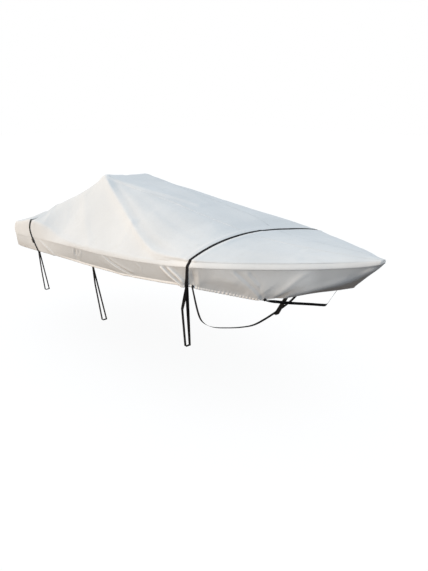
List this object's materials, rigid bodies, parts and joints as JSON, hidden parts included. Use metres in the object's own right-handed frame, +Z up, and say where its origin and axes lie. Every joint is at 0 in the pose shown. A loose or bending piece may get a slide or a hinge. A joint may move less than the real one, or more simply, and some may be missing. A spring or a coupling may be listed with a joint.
{
  "type": "boat console cover",
  "caption": "Fitted cloth cover for a small open boat with a console, pitched over the console, skirted below the rub rail and tied down with webbing straps.",
  "frame": {"origin": "on the inner face of the cloth where it crosses the ridge over the console, on the centre line, which is what the boat's console holds up", "axes": "+X forward along the boat to the bow, +Y to port, +Z up"},
  "size_m": [4.322, 1.8273, 1.3927],
  "materials": {
    "cover_cloth": "coated polyester, matt",
    "skirt_cloth": "coated polyester, matt",
    "webbing": "woven polypropylene",
    "buckle": "moulded, satin"
  },
  "bodies": {
    "root": {"centre_panel": "cover_cloth", "starboard_side_panel": "cover_cloth", "port_side_panel": "cover_cloth", "starboard_skirt": "skirt_cloth", "port_skirt": "skirt_cloth", "transom_panel": "skirt_cloth", "rear_strap": "webbing", "front_strap": "webbing", "starboard_mid_tie": "webbing", "port_mid_tie": "webbing", "belly_strap": "webbing", "bow_strap": "webbing", "rear_buckle": "buckle"}
  },
  "joints": []
}
